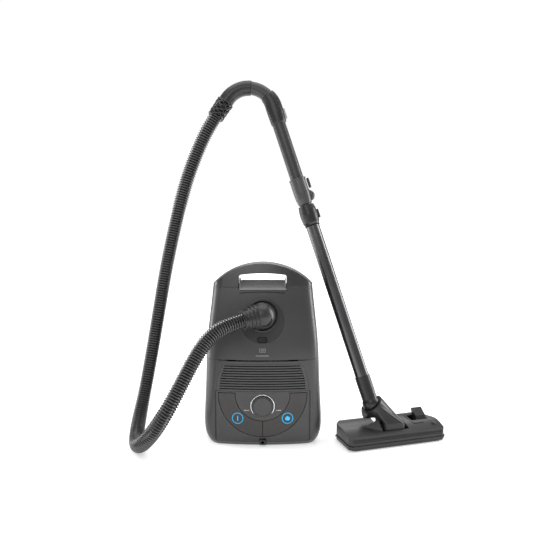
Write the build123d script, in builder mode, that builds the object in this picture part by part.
from build123d import *
from math import radians, tan, cos, sin
import os

# Canister vacuum cleaner parked upright on its rear end, millimetres, +Z up, front towards -Y.
# The origin is the middle of the flat standing base, on the floor.

# ---- canister casing ----
wall = 3.0                  # moulded shell thickness
gap = 0.4                   # gap between neighbouring covers
front_bulge = 14.0          # how far the front stands out between its corners
corner_radius = 30.0
top_height = 450.0          # top of the carry handle
handle_back = -12.0         # rear face of the carry handle
handle_underside = 393.0    # level of the carry slot's floor
slot_half_width = 59.0
slot_top = 427.0
panel_half_width = 115.0    # front panel between its two upright seams
panel_bottom = 10.0
panel_top = 141.0
grille_top = 209.5
lid_seam_low = (-82.0, 220.0)    # side seam of the dust lid, as y and z
lid_seam_high = (-40.0, 392.5)
lid_axis = (-103.0, 220.0)       # hinge line of the dust lid, as y and z
lid_sweep_angle = 75.0
lid_reach = 176.0           # radius of the lid's top edge about its hinge line
base_height = 9.0           # standing base under the casing

# height, half width, front y, back y of each casing section
body_sections = [
    (0, 131, -104, 88),
    (22, 142, -113, 95),
    (100, 145, -116, 96),
    (220, 140, -112, 96),
    (320, 132, -94, 95),
    (400, 124, -70, 90),
    (470, 118, -46, 84),
]

# ---- front controls ----
pedal_centre_z = 134.0      # centre of the arc that both pedals follow
pedal_outer = 109.0
pedal_inner = 68.0
pedal_gap = 1.2
dial_z = 104.5
dial_radius = 25.5
dial_front = -121.0

# ---- hose inlet ----
inlet_origin = Vector(0, -95.2, 327)
inlet_tilt = 13.0
ring_radius = 40.0
ball_radius = 32.0
dish_radius = 52.5
hose_diameter = 37.0

# ---- wand ----
wand_foot = Vector(262, -62, 130)
wand_dir = Vector(-0.3096, 0.2101, 0.9274).normalized()
wand_right = (Vector(1, 0, 0) - wand_dir * Vector(1, 0, 0).dot(wand_dir)).normalized()
arch_start = 768.0          # distance along the wand where the handle starts to bend
arch_radius = 66.0
arch_swivel = 66.0          # turn of the arch, in degrees, where the hose cuff swivels
arch_end = 128.0
pipe_radius = 17.3
outer_tube_radius = 17.5
inner_tube_radius = 15.7
sleeve_base = 440.0         # lower end of the telescopic sleeve, along the wand
sleeve_length = 52.0
collar_base = 496.0
collar_length = 68.0

# ---- floor head ----
head_turn = 18.0
head_frame = Plane(origin=(322, -67.3, 0), z_dir=(0, 0, 1),
                   x_dir=(cos(radians(head_turn)), sin(radians(head_turn)), 0))
head_length = 262.0
head_depth = 104.0
yoke_axis_y = 12.0
yoke_axis_z = 34.0
yoke_x = 2.0                # middle of the yoke's foot, along the head
neck_drop = 36.0            # from the wand's foot down to the neck's ball
head_pedal_x = 93.0
head_pedal_y = 18.0
head_recess_x = 86.0

# ---- hose route, between the elbow and the handle cuff ----
hose_points = [
    (-95, -159, 314),
    (-132, -184, 284),
    (-160, -210, 240),
    (-186, -236, 190),
    (-215, -255, 137),
    (-249, -250, 84),
    (-281, -214, 43),
    (-304, -158, 19),
    (-317, -98, 19),
    (-320, -42, 43),
    (-314, -3, 89),
    (-304, 18, 147),
    (-291, 34, 222),
    (-275, 48, 316),
    (-256, 60, 424),
    (-231, 71, 536),
    (-204, 79, 640),
    (-172, 84, 724),
]
hose_last_run = 72.0        # straight into the cuff

os.makedirs("parts", exist_ok=True)


def save(piece, name):
    piece.part.label = name
    export_step(piece.part, f"parts/{name}.step")


def body_section(row, inset):
    """One rounded section of the casing, moved inwards by inset."""
    height, half, front, back = row
    half -= inset
    front += inset
    back -= inset
    side = front + front_bulge
    with BuildSketch(Plane.XY.offset(height)) as section:
        with BuildLine():
            ThreePointArc((-half, side), (0, front), (half, side))
            Polyline((half, side), (half, back), (-half, back), (-half, side))
        make_face()
        fillet(section.vertices(), corner_radius - inset)
    return section.sketch


def casing_volume(inset):
    """The whole casing's outer form, moved inwards by inset, with the handle arch on top."""
    arch_z = top_height - 86 - inset
    rear_top = 366 - inset
    step_y = handle_back - inset
    with BuildPart() as volume:
        loft([body_section(row, inset) for row in body_sections])
        with BuildSketch(Plane.XZ):
            with BuildLine():
                ThreePointArc((-150, arch_z), (0, top_height - inset), (150, arch_z))
                Polyline((150, arch_z), (150, inset), (-150, inset), (-150, arch_z))
            make_face()
        extrude(amount=200, both=True, mode=Mode.INTERSECT)
        with BuildSketch(Plane.YZ) as rear_step:
            Polygon((step_y, 480), (step_y, handle_underside + 3 - inset), (96, rear_top), (150, rear_top),
                    (150, 480), align=None)
            fillet(rear_step.vertices().group_by(Axis.Y)[0].sort_by(Axis.Z)[0], 9)
        extrude(amount=200, both=True, mode=Mode.SUBTRACT)
    return volume.part


def level_slab(low, high):
    with BuildPart() as slab:
        with Locations((0, 0, low)):
            Box(400, 400, high - low, align=(Align.CENTER, Align.CENTER, Align.MIN))
    return slab.part


casing_outer = casing_volume(0)
casing_inset = casing_volume(wall)
casing_inner = casing_inset & level_slab(base_height + wall, handle_underside - wall)
casing_wall = casing_outer - casing_inner


def side_prism(points):
    """A full-width block with the given outline in the side view."""
    with BuildPart() as prism:
        with BuildSketch(Plane.YZ):
            Polygon(*points, align=None)
        extrude(amount=200, both=True)
    return prism.part


def lid_zone(slack):
    """Everything that belongs to the dust lid, its top edge concentric with the hinge."""
    low_y, low_z = lid_seam_low
    high_y, high_z = lid_seam_high
    prism = side_prism([(-200, low_z - slack), (low_y + slack, low_z - slack),
                        (high_y + slack, high_z + slack), (-200, high_z + slack)])
    with BuildPart() as reach:
        with Locations((0, lid_axis[0], lid_axis[1])):
            Cylinder(lid_reach + slack, 400, rotation=(0, 90, 0))
    return prism & reach.part


def grille_face(grow, offset):
    """Outline of the exhaust grille in the front view, on an upright plane."""
    top_half = 96 + grow
    low_half = 113 + grow
    low = panel_top + 0.6 - grow
    high = grille_top + grow
    with BuildSketch(Plane.XZ.offset(offset)) as face:
        with BuildLine():
            Line((-low_half, low), (low_half, low))
            ThreePointArc((low_half, low), (109 + grow, 180), (top_half, high))
            Line((top_half, high), (-top_half, high))
            ThreePointArc((-top_half, high), (-109 - grow, 180), (-low_half, low))
        make_face()
    return face.sketch


def half_ring_face(outer, inner, top, offset):
    """Lower half of a ring around the pedals' centre, cut level at the top."""
    with BuildSketch(Plane.XZ.offset(offset)) as face:
        with Locations((0, pedal_centre_z)):
            Circle(outer)
            if inner > 0:
                Circle(inner, mode=Mode.SUBTRACT)
        with Locations((0, top)):
            Rectangle(400, 400, align=(Align.CENTER, Align.MIN), mode=Mode.SUBTRACT)
    return face.sketch


# ================= casing =================
lid_edge_pocket_radius = 9.6
wheel_y = 78.0
wheel_z = 62.0
wheel_radius = 43.0
wheel_x = 118.0
caster_z = 318.0
caster_cup_radius = 33.5
cord_outlet_size = (16.0, 12.0)
cord_outlet_z = 10.5


def cord_outlet_block(slack):
    width, height = cord_outlet_size
    with BuildPart() as block:
        with Locations((0, -108, cord_outlet_z)):
            Box(width + 2 * slack, 18, height + 2 * slack)
    return block.part


hinge_x = 42.0
hinge_pin_radius = 1.8


def hinge_barrel(x, width, radius):
    with BuildPart() as barrel:
        with Locations((x, lid_axis[0], lid_axis[1])):
            Cylinder(radius, width, rotation=(0, 90, 0))
    return barrel.part


def lid_hinge_brackets():
    """Two pairs of eyes for the dust lid's pins, on a rail between the casing's sides."""
    with BuildPart() as brackets:
        with Locations((0, lid_axis[0] + 8, lid_axis[1] - 12)):
            Box(234, 10, 3)
        for x in (-hinge_x, hinge_x):
            for offset in (-9.2, 9.2):
                add(hinge_barrel(x + offset, 5, 3.6))
                with Locations((x + offset, lid_axis[0] + 3.2, lid_axis[1] - 6)):
                    Box(5, 6.5, 14)
                add(hinge_barrel(x + offset, 6, hinge_pin_radius), mode=Mode.SUBTRACT)
    return brackets.part


def make_body_shell():
    with BuildPart() as shell:
        add(casing_wall)
        # everything above the slot's floor belongs to the carry handle, below is the base
        add(level_slab(handle_underside, 500), mode=Mode.SUBTRACT)
        add(level_slab(-10, base_height), mode=Mode.SUBTRACT)
        add(lid_zone(gap), mode=Mode.SUBTRACT)
        # room for the lid's lower edge as it rolls inwards
        with BuildSketch(Plane.XY.offset(lid_axis[1])):
            with BuildLine():
                ThreePointArc((-126, lid_axis[0] - 0.5), (0, lid_axis[0] - lid_edge_pocket_radius),
                              (126, lid_axis[0] - 0.5))
                Line((126, lid_axis[0] - 0.5), (126, lid_axis[0]))
                Line((126, lid_axis[0]), (-126, lid_axis[0]))
                Line((-126, lid_axis[0]), (-126, lid_axis[0] - 0.5))
            make_face()
        revolve(axis=Axis((0, lid_axis[0], lid_axis[1]), (1, 0, 0)), revolution_arc=lid_sweep_angle,
                mode=Mode.SUBTRACT)
        # front panel and exhaust grille openings
        with BuildSketch(Plane.XZ.offset(70)):
            with Locations((0, (panel_bottom + panel_top) / 2)):
                Rectangle(2 * panel_half_width + 2 * gap, panel_top - panel_bottom + 2 * gap)
        extrude(amount=60, mode=Mode.SUBTRACT)
        add(grille_face(gap, 70))
        extrude(amount=60, dir=(0, -1, 0), mode=Mode.SUBTRACT)
        # wheel wells and caster recess, open to the back
        with Locations((-wheel_x, wheel_y + 8, wheel_z), (wheel_x, wheel_y + 8, wheel_z)):
            Box(29, 102, 94, mode=Mode.SUBTRACT)
        with Locations((0, 105, caster_z)):
            Cylinder(caster_cup_radius, 60, rotation=(90, 0, 0), mode=Mode.SUBTRACT)
        add(cord_outlet_block(gap), mode=Mode.SUBTRACT)
        # sunk pan behind the lid's latch
        with Locations((0, -50, 386)):
            Box(2 * slot_half_width + 0.8, 62, 20, align=(Align.CENTER, Align.CENTER, Align.MIN),
                mode=Mode.SUBTRACT)
        with Locations((0, -29, 383)):
            Box(2 * slot_half_width + 6, 20, 3, align=(Align.CENTER, Align.CENTER, Align.MIN))
        for x in (-slot_half_width - 1.7, slot_half_width + 1.7):
            with Locations((x, -29, 383)):
                Box(2.6, 20, 10, align=(Align.CENTER, Align.CENTER, Align.MIN))
        with Locations((0, -17.5, 383)):
            Box(2 * slot_half_width + 6, 3, 10, align=(Align.CENTER, Align.CENTER, Align.MIN))
    return shell


def wheel_well(side):
    """Cup behind one rear wheel, joined to the casing."""
    with BuildPart() as well:
        with Locations((side * wheel_x, 65, wheel_z)):
            Box(35, 72, 100)
        add(casing_inner, mode=Mode.INTERSECT)
        with Locations((side * wheel_x, 69, wheel_z)):
            Box(29, 72, 94, mode=Mode.SUBTRACT)
    return well.part


body_shell = make_body_shell()
for side in (-1, 1):
    body_shell.part += wheel_well(side)
body_shell.part += lid_hinge_brackets()
save(body_shell, "body_shell")

with BuildPart() as base_bumper:
    add(casing_outer - casing_inset)
    add(level_slab(-1, base_height), mode=Mode.INTERSECT)
    add(cord_outlet_block(gap), mode=Mode.SUBTRACT)
save(base_bumper, "base_bumper")

with BuildPart() as cord_outlet:
    add(cord_outlet_block(0))
    with Locations((0, -108, cord_outlet_z)):
        Cylinder(3.8, 30, rotation=(90, 0, 0), mode=Mode.SUBTRACT)
save(cord_outlet, "cord_outlet")

with BuildPart() as carry_handle:
    add(casing_outer)
    add(level_slab(handle_underside, 500), mode=Mode.INTERSECT)
    with BuildSketch(Plane.XZ) as slot:
        with BuildLine():
            Polyline((-slot_half_width, slot_top - 5), (-slot_half_width, 380), (slot_half_width, 380),
                     (slot_half_width, slot_top - 5))
            ThreePointArc((slot_half_width, slot_top - 5), (0, slot_top), (-slot_half_width, slot_top - 5))
        make_face()
        fillet(slot.vertices().group_by(Axis.Y)[-1], 5)
    extrude(amount=200, both=True, mode=Mode.SUBTRACT)
save(carry_handle, "carry_handle")

with BuildPart() as front_panel:
    add(casing_wall)
    with Locations((0, -115, (panel_bottom + panel_top) / 2)):
        Box(2 * panel_half_width, 89, panel_top - panel_bottom, mode=Mode.INTERSECT)
    add(half_ring_face(pedal_outer + pedal_gap, 0, pedal_centre_z + 3.4, 60))
    extrude(amount=80, dir=(0, -1, 0), mode=Mode.SUBTRACT)
    add(cord_outlet_block(gap), mode=Mode.SUBTRACT)
save(front_panel, "front_panel")

with BuildPart() as exhaust_grille:
    add(casing_wall)
    add(grille_face(0, 70))
    extrude(amount=60, dir=(0, -1, 0), mode=Mode.INTERSECT)
    for row in range(10):
        slat_z = panel_top + 6.2 + row * 6.35
        slat_half = 106 - (row / 9) ** 2 * 13
        with BuildSketch(Plane.XZ.offset(70)):
            with Locations((0, slat_z)):
                SlotOverall(2 * slat_half, 2.4)
        extrude(amount=60, mode=Mode.SUBTRACT)
save(exhaust_grille, "exhaust_grille")

with BuildPart() as exhaust_filter:
    with Locations((0, -94.5, 176)):
        Box(164, 15, 58)
    fillet(exhaust_filter.edges().filter_by(Axis.Y), 3)
save(exhaust_filter, "exhaust_filter")


# ================= dust lid, latch and hose inlet =================
inlet_frame = Plane(origin=inlet_origin, x_dir=(1, 0, 0),
                    z_dir=(0, -cos(radians(inlet_tilt)), sin(radians(inlet_tilt))))
dish_drop = 15.0
latch_half_width = 57.5


def dish_face(grow, offset):
    """Socket ring circle and shallow dish circle together, across the hose inlet's axis."""
    with BuildSketch(inlet_frame.offset(offset)) as face:
        Circle(ring_radius + 0.6 + grow)
        with Locations((0, -dish_drop)):
            Circle(dish_radius + grow)
    return face.sketch


with BuildPart() as dust_lid:
    add(casing_wall)
    add(lid_zone(0), mode=Mode.INTERSECT)
    add(dish_face(0.2, -20))
    extrude(amount=40, dir=inlet_frame.z_dir, mode=Mode.SUBTRACT)
    add(dish_face(3.8, -20))
    extrude(amount=14.2, dir=inlet_frame.z_dir, mode=Mode.SUBTRACT)
    # sunk seat for the latch
    with Locations((0, -60, 385.5)):
        Box(2 * slot_half_width, 80, 30, align=(Align.CENTER, Align.CENTER, Align.MIN), mode=Mode.SUBTRACT)
    with Locations((0, -57, 383.5)):
        Box(2 * slot_half_width + 4, 26, 4)
    # hinge knuckles
    for x in (-hinge_x, hinge_x):
        with Locations((x, lid_axis[0] - 2.4, lid_axis[1] + 1.8)):
            Box(12, 4.8, 3.6)
        add(hinge_barrel(x, 12, 3.6))
        add(hinge_barrel(x, 14, hinge_pin_radius + 0.06), mode=Mode.SUBTRACT)
save(dust_lid, "dust_lid")

with BuildPart() as lid_latch:
    with BuildSketch(Plane.YZ):
        Polygon((-68, 386.2), (-67, 389.5), (-30, 404.5), (-25, 404.5), (-25, 401.3), (-58, 386.2), align=None)
    extrude(amount=latch_half_width, both=True)
    with BuildSketch(Plane.YZ.offset(-latch_half_width)):
        Polygon((-64, 389), (-56, 402), (-44, 410), (-30, 411), (-28, 403), align=None)
    extrude(amount=3)
    with BuildSketch(Plane.YZ.offset(latch_half_width)):
        Polygon((-64, 389), (-56, 402), (-44, 410), (-30, 411), (-28, 403), align=None)
    extrude(amount=-3)
save(lid_latch, "lid_latch")

with BuildPart() as inlet_plate:
    add(dish_face(0, -6))
    extrude(amount=3, dir=inlet_frame.z_dir)
    add(dish_face(3.4, -9))
    extrude(amount=3, dir=inlet_frame.z_dir)
    with BuildSketch(inlet_frame.offset(-6)):
        Circle(ring_radius)
    extrude(amount=8)
    with BuildSketch(inlet_frame.offset(-3)):
        Circle(ball_radius + 2.6)
    extrude(amount=8, mode=Mode.SUBTRACT)
    with BuildSketch(inlet_frame.offset(-12)):
        Circle(25.4)
        with Locations((0, -59)):
            RectangleRounded(20, 12, 3.5)
    extrude(amount=20, mode=Mode.SUBTRACT)
    with BuildSketch(inlet_frame.offset(-30)):
        Circle(28)
        Circle(25.4, mode=Mode.SUBTRACT)
    extrude(amount=22)
save(inlet_plate, "inlet_plate")

with BuildPart() as bag_full_window:
    with BuildSketch(inlet_frame.offset(-6)):
        with Locations((0, -59)):
            RectangleRounded(20, 12, 3.5)
    extrude(amount=2.6)
save(bag_full_window, "bag_full_window")

with BuildPart() as bag_full_flag:
    with BuildSketch(inlet_frame.offset(-12.5)):
        with Locations((-5, -59)):
            Rectangle(8, 11)
    extrude(amount=1.5)
save(bag_full_flag, "bag_full_flag")

elbow_centre_height = 20.0
elbow_length = 52.0
elbow_lean = 22.0
elbow_drop = 14.0
elbow_dir = Vector(-cos(radians(elbow_drop)) * cos(radians(elbow_lean)),
                   -sin(radians(elbow_drop)) * cos(radians(elbow_lean)), sin(radians(elbow_lean)))
elbow_centre = inlet_frame.from_local_coords(Vector(0, 0, elbow_centre_height))
elbow_out = (inlet_frame.from_local_coords(elbow_dir + Vector(0, 0, elbow_centre_height)) - elbow_centre)
elbow_frame = Plane(origin=elbow_centre, x_dir=inlet_frame.z_dir, z_dir=elbow_out)
hose_start = elbow_centre + elbow_out * elbow_length

with BuildPart() as hose_elbow:
    with Locations(elbow_centre):
        Sphere(ball_radius)
    with BuildSketch(inlet_frame.offset(-20)):
        Circle(25)
    extrude(amount=30)
    with BuildSketch(elbow_frame.offset(14)):
        Circle(28.8)
    with BuildSketch(elbow_frame.offset(44)):
        Circle(23)
    loft()
    with BuildSketch(elbow_frame.offset(42)):
        Circle(24.5)
    extrude(amount=elbow_length - 42)
    with BuildSketch(inlet_frame.offset(-21)):
        Circle(21)
    extrude(amount=30, mode=Mode.SUBTRACT)
save(hose_elbow, "hose_elbow")
print("hose start", hose_start)

# ================= pedals and power dial =================
pedal_axis = (-101.0, 133.0)     # y and z of both pedals' pivot
pedal_barrel_radius = 3.0
skin = casing_outer - (casing_inset & level_slab(-5, 300))


def make_pedal(side):
    with BuildPart() as pedal:
        add(skin)
        add(half_ring_face(pedal_outer, pedal_inner, pedal_centre_z + 2, 60))
        extrude(amount=80, dir=(0, -1, 0), mode=Mode.INTERSECT)
        with Locations((side * 100.6, -80, 80)):
            Box(200, 200, 300, mode=Mode.INTERSECT)
        with Locations((side * 88, (pedal_axis[0] - 107) / 2, pedal_axis[1])):
            Box(24, 7, 3)
        with Locations((side * 88, pedal_axis[0], pedal_axis[1])):
            Cylinder(pedal_barrel_radius, 24, rotation=(0, 90, 0))
            Cylinder(1.56, 30, rotation=(0, 90, 0), mode=Mode.SUBTRACT)
    return pedal


power_pedal = make_pedal(-1)
save(power_pedal, "power_pedal")
rewind_pedal = make_pedal(1)
save(rewind_pedal, "rewind_pedal")

with BuildPart() as hinge_pins:
    with Locations((-88, pedal_axis[0], pedal_axis[1]), (88, pedal_axis[0], pedal_axis[1])):
        Cylinder(1.5, 34, rotation=(0, 90, 0))
    for x in (-hinge_x, hinge_x):
        add(hinge_barrel(x, 24, hinge_pin_radius))
save(hinge_pins, "hinge_pins")

with BuildPart() as control_frame:
    with Locations((0, -96, 138.2)):
        Box(228, 12, 2)
    with Locations((0, -92, 105)):
        Box(96, 3, 68)
    with Locations((-48, -93, 132), (48, -93, 132)):
        Box(3, 14, 10)
    for x in (-103.5, -72.5, 72.5, 103.5):
        with Locations((x, pedal_axis[0] + 2.5, pedal_axis[1] + 1.5)):
            Box(3, 9, 9)
    with Locations((-88, pedal_axis[0], pedal_axis[1]), (88, pedal_axis[0], pedal_axis[1])):
        Cylinder(1.5, 34, rotation=(0, 90, 0), mode=Mode.SUBTRACT)
    with Locations((0, -92, dial_z)):
        Cylinder(5.2, 10, rotation=(90, 0, 0), mode=Mode.SUBTRACT)
save(control_frame, "control_frame")

with BuildPart() as dial_plate:
    add(casing_wall)
    add(half_ring_face(pedal_inner - pedal_gap, 0, pedal_centre_z + 3.4, 60))
    extrude(amount=80, dir=(0, -1, 0), mode=Mode.INTERSECT)
    with Locations((0, -110, dial_z)):
        Cylinder(12.6, 40, rotation=(90, 0, 0), mode=Mode.SUBTRACT)
    with Locations((-40, -103.5, 125), (40, -103.5, 125), (0, -104.6, 76)):
        Cylinder(3, 20, rotation=(90, 0, 0))
save(dial_plate, "dial_plate")

with BuildPart() as power_dial:
    with BuildSketch(Plane.XZ.offset(116.6)):
        with Locations((0, dial_z)):
            Circle(dial_radius)
    extrude(amount=-dial_front - 116.6)
    fillet(power_dial.edges().sort_by(Axis.Y)[0], 2)
    with BuildSketch(Plane.XZ.offset(104)):
        with Locations((0, dial_z)):
            Circle(12.2)
    extrude(amount=14)
    with BuildSketch(Plane.XZ.offset(88)):
        with Locations((0, dial_z)):
            Circle(3)
    extrude(amount=20)
    with Locations((0, dial_front, dial_z + 17)):
        Box(2.4, 2.4, 9)
save(power_dial, "power_dial")

with BuildPart() as dial_ring:
    with BuildSketch(Plane.XZ.offset(110)):
        with Locations((0, dial_z)):
            Circle(30)
            Circle(27.4, mode=Mode.SUBTRACT)
            with Locations((0, -30)):
                Rectangle(38, 26, mode=Mode.SUBTRACT)
    extrude(amount=6.8)
    add(casing_outer, mode=Mode.SUBTRACT)
save(dial_ring, "dial_ring")

with BuildPart() as control_board:
    with Locations((0, -80.5, 104)):
        Box(84, 1.6, 56)
    with Locations((-26, -78, 118), (26, -78, 92)):
        Box(14, 5, 12)
    # the dial's potentiometer
    with Locations((0, -85.5, dial_z)):
        Cylinder(10, 9, rotation=(90, 0, 0))
        Cylinder(3.05, 30, rotation=(90, 0, 0), mode=Mode.SUBTRACT)
save(control_board, "control_board")

# ================= inside the casing =================
motor_x = -42.0
motor_y = 5.0
bulkhead_z = 212.0

with BuildPart() as bulkhead:
    add(casing_inner)
    with Locations((0, 10, bulkhead_z)):
        Box(400, 204, 3, align=(Align.CENTER, Align.CENTER, Align.MIN), mode=Mode.INTERSECT)
    with Locations((motor_x, motor_y, bulkhead_z)):
        Cylinder(40, 20, mode=Mode.SUBTRACT)
save(bulkhead, "bulkhead")

with BuildPart() as motor_filter:
    with Locations((motor_x, motor_y, bulkhead_z + 3)):
        Box(96, 96, 6, align=(Align.CENTER, Align.CENTER, Align.MIN))
save(motor_filter, "motor_filter")

with BuildPart() as motor_housing:
    with Locations((motor_x, motor_y, 88)):
        Cylinder(62, 108, align=(Align.CENTER, Align.CENTER, Align.MIN))
    with Locations((motor_x, motor_y, 91)):
        Cylinder(58, 102, align=(Align.CENTER, Align.CENTER, Align.MIN), mode=Mode.SUBTRACT)
    with Locations((motor_x, motor_y, 80)):
        Cylinder(4.05, 20, align=(Align.CENTER, Align.CENTER, Align.MIN), mode=Mode.SUBTRACT)
    with Locations((motor_x, motor_y, 190)):
        Cylinder(32, 20, align=(Align.CENTER, Align.CENTER, Align.MIN), mode=Mode.SUBTRACT)
save(motor_housing, "motor_housing")

with BuildPart() as motor_rotor:
    with Locations((motor_x, motor_y, 86)):
        Cylinder(4, 102, align=(Align.CENTER, Align.CENTER, Align.MIN))
    with Locations((motor_x, motor_y, 104)):
        Cylinder(26, 50, align=(Align.CENTER, Align.CENTER, Align.MIN))
    with Locations((motor_x, motor_y, 172)):
        Cylinder(52, 2, align=(Align.CENTER, Align.CENTER, Align.MIN))
    for blade in range(8):
        with Locations(Location((motor_x, motor_y, 179), (0, 0, blade * 45))):
            with Locations((31, 0, 0)):
                Box(36, 2, 10, rotation=(0, 0, 25))
save(motor_rotor, "motor_rotor")

with BuildPart() as motor_seal:
    with Locations((motor_x, motor_y, 196)):
        Cylinder(60, bulkhead_z - 196, align=(Align.CENTER, Align.CENTER, Align.MIN))
        Cylinder(50, bulkhead_z - 196, align=(Align.CENTER, Align.CENTER, Align.MIN), mode=Mode.SUBTRACT)
save(motor_seal, "motor_seal")

with BuildPart() as motor_stand:
    with Locations((motor_x, motor_y, base_height + wall)):
        Cylinder(50, 88 - base_height - wall, align=(Align.CENTER, Align.CENTER, Align.MIN))
        Cylinder(46, 88 - base_height - wall, align=(Align.CENTER, Align.CENTER, Align.MIN),
                 mode=Mode.SUBTRACT)
save(motor_stand, "motor_stand")

reel_x = 70.0
reel_z = 92.0
with BuildPart() as cord_reel:
    with Locations((reel_x, 0, reel_z)):
        Cylinder(28, 46, rotation=(0, 90, 0))
    with Locations((reel_x - 22, 0, reel_z), (reel_x + 22, 0, reel_z)):
        Cylinder(70, 2, rotation=(0, 90, 0))
    with Locations((reel_x, 0, reel_z)):
        Cylinder(24, 60, rotation=(0, 90, 0), mode=Mode.SUBTRACT)
        Cylinder(28, 3, rotation=(0, 90, 0))
        Cylinder(5.05, 60, rotation=(0, 90, 0), mode=Mode.SUBTRACT)
save(cord_reel, "cord_reel")

with BuildPart() as reel_axle:
    with Locations((reel_x - 4, 0, reel_z)):
        Cylinder(5, 52, rotation=(0, 90, 0))
    with Locations((reel_x - 28.5, 0, base_height + wall)):
        Box(3, 44, reel_z - base_height - wall + 12, align=(Align.CENTER, Align.CENTER, Align.MIN))
save(reel_axle, "reel_axle")

with BuildPart() as dust_bag:
    with Locations((0, 7, 292)):
        Box(204, 116, 128)
    fillet(dust_bag.edges(), 22)
save(dust_bag, "dust_bag")

with BuildPart() as bag_holder:
    with BuildSketch(inlet_frame.offset(-35)):
        Rectangle(112, 92)
        Circle(26, mode=Mode.SUBTRACT)
    extrude(amount=3)
save(bag_holder, "bag_holder")


# ================= rear wheels and front caster =================
def make_wheel(side):
    """Rear wheel with its tyre."""
    with BuildPart() as wheel:
        with Locations((side * wheel_x, wheel_y, wheel_z)):
            Cylinder(wheel_radius, 20, rotation=(0, 90, 0))
        fillet(wheel.edges().filter_by(GeomType.CIRCLE), 4)
        with Locations((side * (wheel_x + 10), wheel_y, wheel_z), (side * (wheel_x - 10), wheel_y, wheel_z)):
            Cylinder(28, 8, rotation=(0, 90, 0), mode=Mode.SUBTRACT)
        with Locations((side * wheel_x, wheel_y, wheel_z)):
            Cylinder(9, 20, rotation=(0, 90, 0))
            Cylinder(4.1, 30, rotation=(0, 90, 0), mode=Mode.SUBTRACT)
    return wheel


for side, name in ((-1, "left"), (1, "right")):
    save(make_wheel(side), f"rear_wheel_{name}")

with BuildPart() as wheel_axles:
    with Locations((-wheel_x, wheel_y, wheel_z), (wheel_x, wheel_y, wheel_z)):
        Cylinder(4, 29, rotation=(0, 90, 0))
save(wheel_axles, "wheel_axles")

caster_trail = 9.0
caster_wheel_y = 103.5
caster_wheel_radius = 17.0
with BuildPart() as caster_cup:
    with Locations((0, 86, caster_z)):
        Cylinder(caster_cup_radius - 0.1, 18, rotation=(90, 0, 0))
    with Locations((0, 92, caster_z)):
        Cylinder(30.5, 24, rotation=(90, 0, 0), mode=Mode.SUBTRACT)
    with Locations((0, 79, caster_z)):
        Cylinder(4.1, 20, rotation=(90, 0, 0), mode=Mode.SUBTRACT)
save(caster_cup, "caster_cup")

with BuildPart() as caster_fork:
    with Locations((0, 83.5, caster_z)):
        Cylinder(29, 5, rotation=(90, 0, 0))
    with Locations((0, 80, caster_z)):
        Cylinder(4, 10, rotation=(90, 0, 0))
    with Locations((-11, 97, caster_z - caster_trail), (11, 97, caster_z - caster_trail)):
        Box(3, 26, 16)
    with Locations((0, caster_wheel_y, caster_z - caster_trail)):
        Cylinder(2.5, 24, rotation=(0, 90, 0))
save(caster_fork, "caster_fork")

with BuildPart() as caster_wheel:
    with Locations((0, caster_wheel_y, caster_z - caster_trail)):
        Cylinder(caster_wheel_radius, 17, rotation=(0, 90, 0))
    fillet(caster_wheel.edges().filter_by(GeomType.CIRCLE), 3)
    with Locations((0, caster_wheel_y, caster_z - caster_trail)):
        Cylinder(2.6, 20, rotation=(0, 90, 0), mode=Mode.SUBTRACT)
save(caster_wheel, "caster_wheel")

# ================= handle and telescopic wand =================
wand_frame = Plane(origin=wand_foot, x_dir=wand_right, z_dir=wand_dir)


def wand_point(x, y, z):
    return wand_frame.from_local_coords(Vector(x, y, z))


def arch_point(turn):
    """Centre of the handle's bend after the given turn in degrees."""
    angle = radians(turn)
    return wand_point(arch_radius * (cos(angle) - 1), 0, arch_start + arch_radius * sin(angle))


def arch_heading(turn):
    angle = radians(turn)
    return (wand_point(-sin(angle), 0, cos(angle)) - wand_foot).normalized()


def arch_plane(turn):
    """Plane across the handle's bend, its x axis pointing outwards from the bend."""
    angle = radians(turn)
    outward = (wand_point(cos(angle), 0, sin(angle)) - wand_foot).normalized()
    return Plane(origin=arch_point(turn), x_dir=outward, z_dir=arch_heading(turn))


def ring_sweep(start, start_turn, end_turn, outer, inner):
    """Round pipe along the wand from a distance, or from a turn of the bend, to another turn."""
    with BuildPart() as pipe:
        with BuildLine() as path:
            if start is not None:
                Line(wand_point(0, 0, start), wand_point(0, 0, arch_start))
            ThreePointArc(arch_point(start_turn), arch_point((start_turn + end_turn) / 2),
                          arch_point(end_turn))
        first = wand_frame.offset(start) if start is not None else arch_plane(start_turn)
        with BuildSketch(first):
            Circle(outer)
            if inner > 0:
                Circle(inner, mode=Mode.SUBTRACT)
        sweep(path=path.wire())
    return pipe


def wand_ring(low, high, outer, inner):
    with BuildPart() as ring:
        with BuildSketch(wand_frame.offset(low)):
            Circle(outer)
            Circle(inner, mode=Mode.SUBTRACT)
        extrude(amount=high - low)
    return ring


def wand_turned(profile, inner):
    """Body turned about the wand's axis, from points of radius and distance along the wand."""
    side_view = Plane(origin=wand_foot, x_dir=wand_right, z_dir=-wand_frame.y_dir)
    with BuildPart() as turned:
        with BuildSketch(side_view):
            Polygon((0.01, profile[0][1]), *profile, (0.01, profile[-1][1]), align=None)
        revolve(axis=Axis(wand_foot, wand_dir))
        with BuildSketch(wand_frame.offset(profile[0][1] - 1)):
            Circle(inner)
        extrude(amount=profile[-1][1] - profile[0][1] + 2, mode=Mode.SUBTRACT)
    return turned


cuff_end = arch_point(arch_end) + arch_heading(arch_end) * 10
relief_end = cuff_end + arch_heading(arch_end) * 46
cuff_frame = Plane(origin=cuff_end, x_dir=wand_frame.y_dir, z_dir=arch_heading(arch_end))

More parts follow.
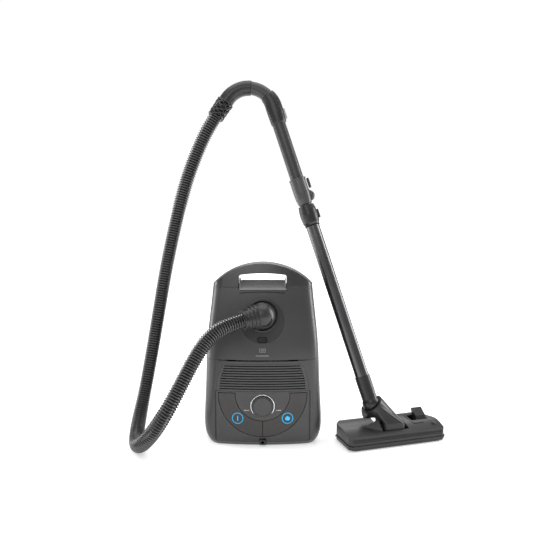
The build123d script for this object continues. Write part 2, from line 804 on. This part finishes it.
handle_pipe = ring_sweep(collar_base + 38, 0, arch_swivel, pipe_radius, 14.6)
save(handle_pipe, "handle_pipe")
handle_grip = ring_sweep(arch_start - 52, 0, 26, pipe_radius + 1.7, pipe_radius)
save(handle_grip, "handle_grip")

with BuildPart() as air_slider:
    with BuildSketch(wand_frame.offset(arch_start - 44)):
        with Locations((pipe_radius + 5.3, 0)):
            RectangleRounded(6.4, 15, 1.5)
    extrude(amount=26)
save(air_slider, "air_slider")

cuff_start = arch_swivel + 0.6
with BuildPart() as hose_cuff:
    with BuildLine() as cuff_path:
        ThreePointArc(arch_point(cuff_start), arch_point((cuff_start + arch_end) / 2), arch_point(arch_end))
        Line(arch_point(arch_end), cuff_end)
    with BuildSketch(arch_plane(cuff_start)):
        Circle(19.6)
        Circle(16.4, mode=Mode.SUBTRACT)
    sweep(path=cuff_path.wire())
    # web and spigot that turn in the handle pipe
    with BuildSketch(arch_plane(arch_swivel + 2)):
        Circle(17.4)
        Circle(12, mode=Mode.SUBTRACT)
    extrude(amount=2)
    with BuildSketch(arch_plane(arch_swivel + 2)):
        Circle(13.6)
        Circle(12, mode=Mode.SUBTRACT)
    extrude(amount=-8)
save(hose_cuff, "hose_cuff")

with BuildPart() as strain_relief:
    with BuildSketch(cuff_frame):
        Circle(21.6)
        Circle(hose_diameter / 2 + 0.2, mode=Mode.SUBTRACT)
    extrude(amount=46)
    for step in range(4):
        with Locations(cuff_frame.offset(7 + step * 10.5)):
            with PolarLocations(20, 4, start_angle=45 * (step % 2)):
                Box(9, 20, 5, align=(Align.CENTER, Align.CENTER, Align.MIN), mode=Mode.SUBTRACT)
save(strain_relief, "strain_relief")

# ---- collar with the release button ----
wand_collar = wand_turned([(17.6, collar_base), (20.4, collar_base + 14), (21.2, collar_base + 30),
                           (21.2, collar_base + collar_length)], 0.5)
with BuildPart() as collar_bores:
    with BuildSketch(wand_frame.offset(collar_base - 1)):
        Circle(inner_tube_radius + 0.05)
    extrude(amount=40)
    with BuildSketch(wand_frame.offset(collar_base + 38)):
        Circle(pipe_radius + 0.05)
    extrude(amount=40)
    with BuildSketch(wand_frame.offset(collar_base + 36)):
        with Locations((26.3, 0)):
            Rectangle(14, 15)
    extrude(amount=29)
wand_collar.part -= collar_bores.part
save(wand_collar, "wand_collar")

with BuildPart() as release_button:
    with BuildSketch(wand_frame.offset(collar_base + 38)):
        with Locations((25.4, 0)):
            RectangleRounded(6.2, 13, 2)
    extrude(amount=25)
save(release_button, "release_button")

inner_tube = wand_ring(70, collar_base + 37, inner_tube_radius, 14.5)
save(inner_tube, "inner_tube")
outer_tube = wand_ring(6, sleeve_base + 14, outer_tube_radius, 16.6)
save(outer_tube, "outer_tube")

telescopic_sleeve = wand_turned([(18.4, sleeve_base), (21.4, sleeve_base + 6), (23.4, sleeve_base + 26),
                                 (22.6, sleeve_base + 40), (20, sleeve_base + sleeve_length)], 16.0)
with BuildPart() as sleeve_bores:
    with BuildSketch(wand_frame.offset(sleeve_base - 1)):
        Circle(outer_tube_radius + 0.02)
    extrude(amount=15)
    with BuildSketch(wand_frame.offset(sleeve_base + 12)):
        with Locations((26.8, 0)):
            Rectangle(12, 12.6)
    extrude(amount=32)
telescopic_sleeve.part -= sleeve_bores.part
save(telescopic_sleeve, "telescopic_sleeve")

with BuildPart() as telescope_slider:
    with BuildSketch(wand_frame.offset(sleeve_base + 13)):
        with Locations((24.2, 0)):
            RectangleRounded(5.6, 11.4, 1.5)
    extrude(amount=22)
save(telescope_slider, "telescope_slider")

# ================= floor head =================


def head_point(x, y, z):
    return head_frame.from_local_coords(Vector(x, y, z))


def head_vector(x, y, z):
    return head_point(x, y, z) - head_point(0, 0, 0)


def head_side_plane(x):
    """Upright plane across the head's length: its x axis runs back, its y axis up."""
    return Plane(origin=head_point(x, 0, 0), x_dir=head_frame.y_dir, z_dir=head_frame.x_dir)


neck_ball_radius = 22.0
swivel_origin = wand_point(0, 0, -neck_drop)
yoke_foot = head_point(yoke_x, yoke_axis_y, yoke_axis_z)
swivel_axis = (swivel_origin - yoke_foot).normalized()
swivel_plane = Plane(origin=swivel_origin, x_dir=head_frame.y_dir, z_dir=swivel_axis)

with BuildPart() as neck_elbow:
    with Locations(swivel_origin):
        Sphere(neck_ball_radius)
    with BuildSketch(wand_frame.offset(10 - neck_drop)):
        Circle(neck_ball_radius - 3)
    with BuildSketch(wand_frame.offset(-2)):
        Circle(19.2)
    loft()
    with BuildSketch(swivel_plane.offset(-34)):
        Circle(17.3)
    extrude(amount=34)
neck_elbow.part += wand_ring(-2.5, 36, 19.4, outer_tube_radius + 0.05).part
save(neck_elbow, "neck_elbow")


def head_outline(inset, height):
    """Plan of the floor head, its back right corner well rounded."""
    half = head_length / 2 - inset
    deep = head_depth / 2 - inset
    with BuildSketch(head_frame.offset(height)) as plan:
        with BuildLine():
            Polyline((half - 8, -deep), (-half + 8, -deep), (-half, -deep + 10), (-half, deep - 16),
                     (-half + 16, deep), (half - 52, deep))
            ThreePointArc((half - 52, deep), (half - 15, deep - 22), (half, deep - 66))
            Polyline((half, deep - 66), (half, -deep + 10), (half - 8, -deep))
        make_face()
    return plan.sketch


def head_profile(drop, x, width):
    """Cross-section of the head's top cover, swept along its length."""
    deep = head_depth / 2 - drop
    with BuildPart() as bar:
        with BuildSketch(head_side_plane(x)):
            with BuildLine():
                Polyline((-deep, 0), (-deep, 24 - drop))
                Spline((-deep, 24 - drop), (-deep + 12, 34 - drop), (0, 43 - drop), (deep - 12, 46 - drop),
                       (deep, 40 - drop), tangents=((0.2, 1), (0.1, -1)))
                Polyline((deep, 40 - drop), (deep, 0), (-deep, 0))
            make_face()
        extrude(amount=width)
    return bar.part


def head_plan_block(inset, low, high):
    with BuildPart() as block:
        add(head_outline(inset, low))
        extrude(amount=high - low, dir=(0, 0, 1))
    return block.part


pocket_half = 36.0
head_wheel_radius = 8.0
head_wheel_spots = [(-78, 43.5), (62, 43.5)]
front_brush = (0, -46, 234)     # middle as x and y, and length
rear_brush = (-8, 43.4, 112)
head_solid = head_plan_block(0, 9, 60) & head_profile(0, -140, 280)
head_hollow = head_plan_block(3, 0, 60) & head_profile(3, -140, 280)
with BuildPart() as head_cover:
    add(head_solid - head_hollow)
    # opening for the neck yoke, and the recess of the floor pedal
    with BuildSketch(head_frame.offset(11)):
        with Locations((yoke_x, 10)):
            Rectangle(2 * pocket_half, 86)
    extrude(amount=60, mode=Mode.SUBTRACT)
    with BuildSketch(head_frame.offset(11)):
        with Locations((head_recess_x, head_pedal_y)):
            RectangleRounded(46, 34, 5)
    extrude(amount=60, mode=Mode.SUBTRACT)
    # screw bosses down to the base
    for x, y in ((-112, 0), (112, -24)):
        with BuildSketch(head_frame.offset(9)):
            with Locations((x, y)):
                Circle(5)
        extrude(amount=33)
    with BuildSketch(head_frame.offset(8)):
        with Locations(*head_wheel_spots):
            Rectangle(17, 20)
    extrude(amount=11, mode=Mode.SUBTRACT)
save(head_cover, "head_cover")

with BuildPart() as head_base:
    add(head_plan_block(0, 3.5, 9))
    with BuildSketch(head_frame.offset(0)):
        with Locations((-6, -24)):
            RectangleRounded(170, 26, 4)
        with Locations((yoke_x, 8)):
            RectangleRounded(46, 56, 6)
        for x, y, length in (front_brush, rear_brush):
            with Locations((x, y)):
                Rectangle(length + 2, 6.6)
        with Locations(*head_wheel_spots):
            Rectangle(15, 20)
    extrude(amount=20, mode=Mode.SUBTRACT)
    # side cheeks that carry the neck's pivot
    for x in (yoke_x - pocket_half + 1.6, yoke_x + pocket_half - 1.6):
        with BuildSketch(head_side_plane(x - 1.5)):
            with BuildLine():
                Polyline((yoke_axis_y - 11, yoke_axis_z), (yoke_axis_y - 13, 8), (yoke_axis_y + 13, 8),
                         (yoke_axis_y + 11, yoke_axis_z))
                ThreePointArc((yoke_axis_y + 11, yoke_axis_z), (yoke_axis_y, yoke_axis_z + 11),
                              (yoke_axis_y - 11, yoke_axis_z))
            make_face()
        extrude(amount=3)
        with BuildSketch(head_side_plane(x - 2)):
            with Locations((yoke_axis_y, yoke_axis_z)):
                Circle(4)
        extrude(amount=4, mode=Mode.SUBTRACT)
    # posts for the floor pedal's pin
    for x in (head_recess_x - 23, head_recess_x + 21):
        with BuildSketch(head_side_plane(x)):
            with Locations((head_pedal_y, 22)):
                Rectangle(9, 30)
        extrude(amount=3)
save(head_base, "head_base")

with BuildPart() as sole_plate:
    add(head_plan_block(7, 2.5, 3.5))
    with BuildSketch(head_frame):
        with Locations((-6, -24)):
            RectangleRounded(170, 26, 4)
        for x, y, length in (front_brush, rear_brush):
            with Locations((x, y)):
                Rectangle(length + 6, 8)
        with Locations(*head_wheel_spots):
            Rectangle(18, 24)
    extrude(amount=20, mode=Mode.SUBTRACT)
save(sole_plate, "sole_plate")

with BuildPart() as head_bumper:
    add(head_plan_block(-2.2, 9.4, 14) - head_plan_block(-0.1, 5, 20))
save(head_bumper, "head_bumper")

yoke_half = 31.0
yoke_top_radius = 29.0
with BuildPart() as neck_yoke:
    # round foot on the pin, and the hood that leans over to the neck
    with BuildSketch(head_side_plane(yoke_x - yoke_half)):
        with Locations((yoke_axis_y, yoke_axis_z)):
            Circle(12)
    extrude(amount=2 * yoke_half)
    with BuildSketch(head_frame.offset(yoke_axis_z - 4)):
        with Locations((yoke_x, 3)):
            RectangleRounded(2 * yoke_half - 4, 66, 8)
    with BuildSketch(head_frame.offset(yoke_axis_z + 17)):
        with Locations((yoke_x - 1, 4)):
            RectangleRounded(2 * yoke_half - 4, 64, 12)
    with BuildSketch(swivel_plane.offset(-3)):
        Circle(yoke_top_radius)
    loft(ruled=True)
    # round ear on the hood's left flank
    with BuildSketch(head_side_plane(yoke_x - 64)):
        with Locations((22, 72)):
            Circle(17)
    extrude(amount=30)
    with Locations(swivel_origin):
        Sphere(neck_ball_radius + 1.2, mode=Mode.SUBTRACT)
    with BuildSketch(swivel_plane.offset(-45)):
        Circle(17.8)
    extrude(amount=60, mode=Mode.SUBTRACT)
    with BuildSketch(swivel_plane.offset(-3)):
        Circle(80)
    extrude(amount=60, mode=Mode.SUBTRACT)
    with BuildSketch(head_side_plane(yoke_x - 50)):
        with Locations((yoke_axis_y, yoke_axis_z)):
            Circle(3.96)
    extrude(amount=100, mode=Mode.SUBTRACT)
save(neck_yoke, "neck_yoke")


def brush_strip(x, y, length):
    """Stiff strip with its tufts of bristle."""
    pitch = 9
    with BuildPart() as strip:
        with BuildSketch(head_frame.offset(4)):
            with Locations((x, y)):
                Rectangle(length, 4)
        extrude(amount=4)
        with BuildSketch(head_frame):
            with Locations((x, y)):
                with GridLocations(pitch, 1, int(length / pitch), 1):
                    Rectangle(7, 2.6)
        extrude(amount=4.4)
    return strip.part


with BuildPart() as brush_strips:
    add(brush_strip(*front_brush))
    add(brush_strip(*rear_brush))
save(brush_strips, "brush_strips")

with BuildPart() as floor_pedal:
    with BuildSketch(head_side_plane(head_pedal_x - 14)):
        with BuildLine():
            Polyline((6, 40), (12, 50), (36, 64), (40, 60), (24, 38), (23, 30), (13, 30), (6, 40))
        make_face()
    extrude(amount=28)
    with BuildSketch(head_side_plane(head_pedal_x - 16)):
        with Locations((head_pedal_y, 34)):
            Circle(2.2)
    extrude(amount=32, mode=Mode.SUBTRACT)
save(floor_pedal, "floor_pedal")

for (x, y), name in zip(head_wheel_spots, ("left", "right")):
    with BuildPart() as head_wheel:
        with BuildSketch(head_side_plane(x - 6)):
            with Locations((y, head_wheel_radius)):
                Circle(head_wheel_radius)
                Circle(1.56, mode=Mode.SUBTRACT)
        extrude(amount=12)
    save(head_wheel, f"head_wheel_{name}")

# radius, length, x, y and z of every pin across the head
head_pin_rows = [(3.9, 2 * pocket_half - 0.4, yoke_x, yoke_axis_y, yoke_axis_z)]
head_pin_rows += [(2.15, 50, head_recess_x, head_pedal_y, 34)]
head_pin_rows += [(1.5, 17, x, y, head_wheel_radius) for x, y in head_wheel_spots]
with BuildPart() as head_pins:
    for radius, length, x, y, z in head_pin_rows:
        with BuildSketch(head_side_plane(x - length / 2)):
            with Locations((y, z)):
                Circle(radius)
        extrude(amount=length)
save(head_pins, "head_pins")

# ================= hose =================
hose_route = [hose_start] + [Vector(*point) for point in hose_points]
hose_route += [cuff_end + arch_heading(arch_end) * hose_last_run, cuff_end]


def route_radii(route):
    """Bend radius at each inner point of the route: large, as its two runs allow."""
    radii = []
    for before, here, after in zip(route, route[1:], route[2:]):
        run_in = here - before
        run_out = after - here
        turn = run_in.get_angle(run_out)
        radius = 0.45 * min(run_in.length, run_out.length) / tan(radians(turn / 2))
        radii.append(radius)
    return radii


hose_radii = route_radii(hose_route)
with BuildPart() as hose:
    with BuildLine() as hose_path:
        FilletPolyline(*hose_route, radius=hose_radii)
    with BuildSketch(elbow_frame.offset(elbow_length)):
        Circle(hose_diameter / 2)
    sweep(path=hose_path.wire())
save(hose, "hose")
hose_length = hose_path.wire().length
section_volume = 3.14159 * (hose_diameter / 2) ** 2 * hose_length
print("hose radii", [round(radius) for radius in hose_radii])
print("hose length", round(hose_length), "volume ratio", round(hose.part.volume / section_volume, 4))
print("cuff end", cuff_end, "hose start", hose_start)
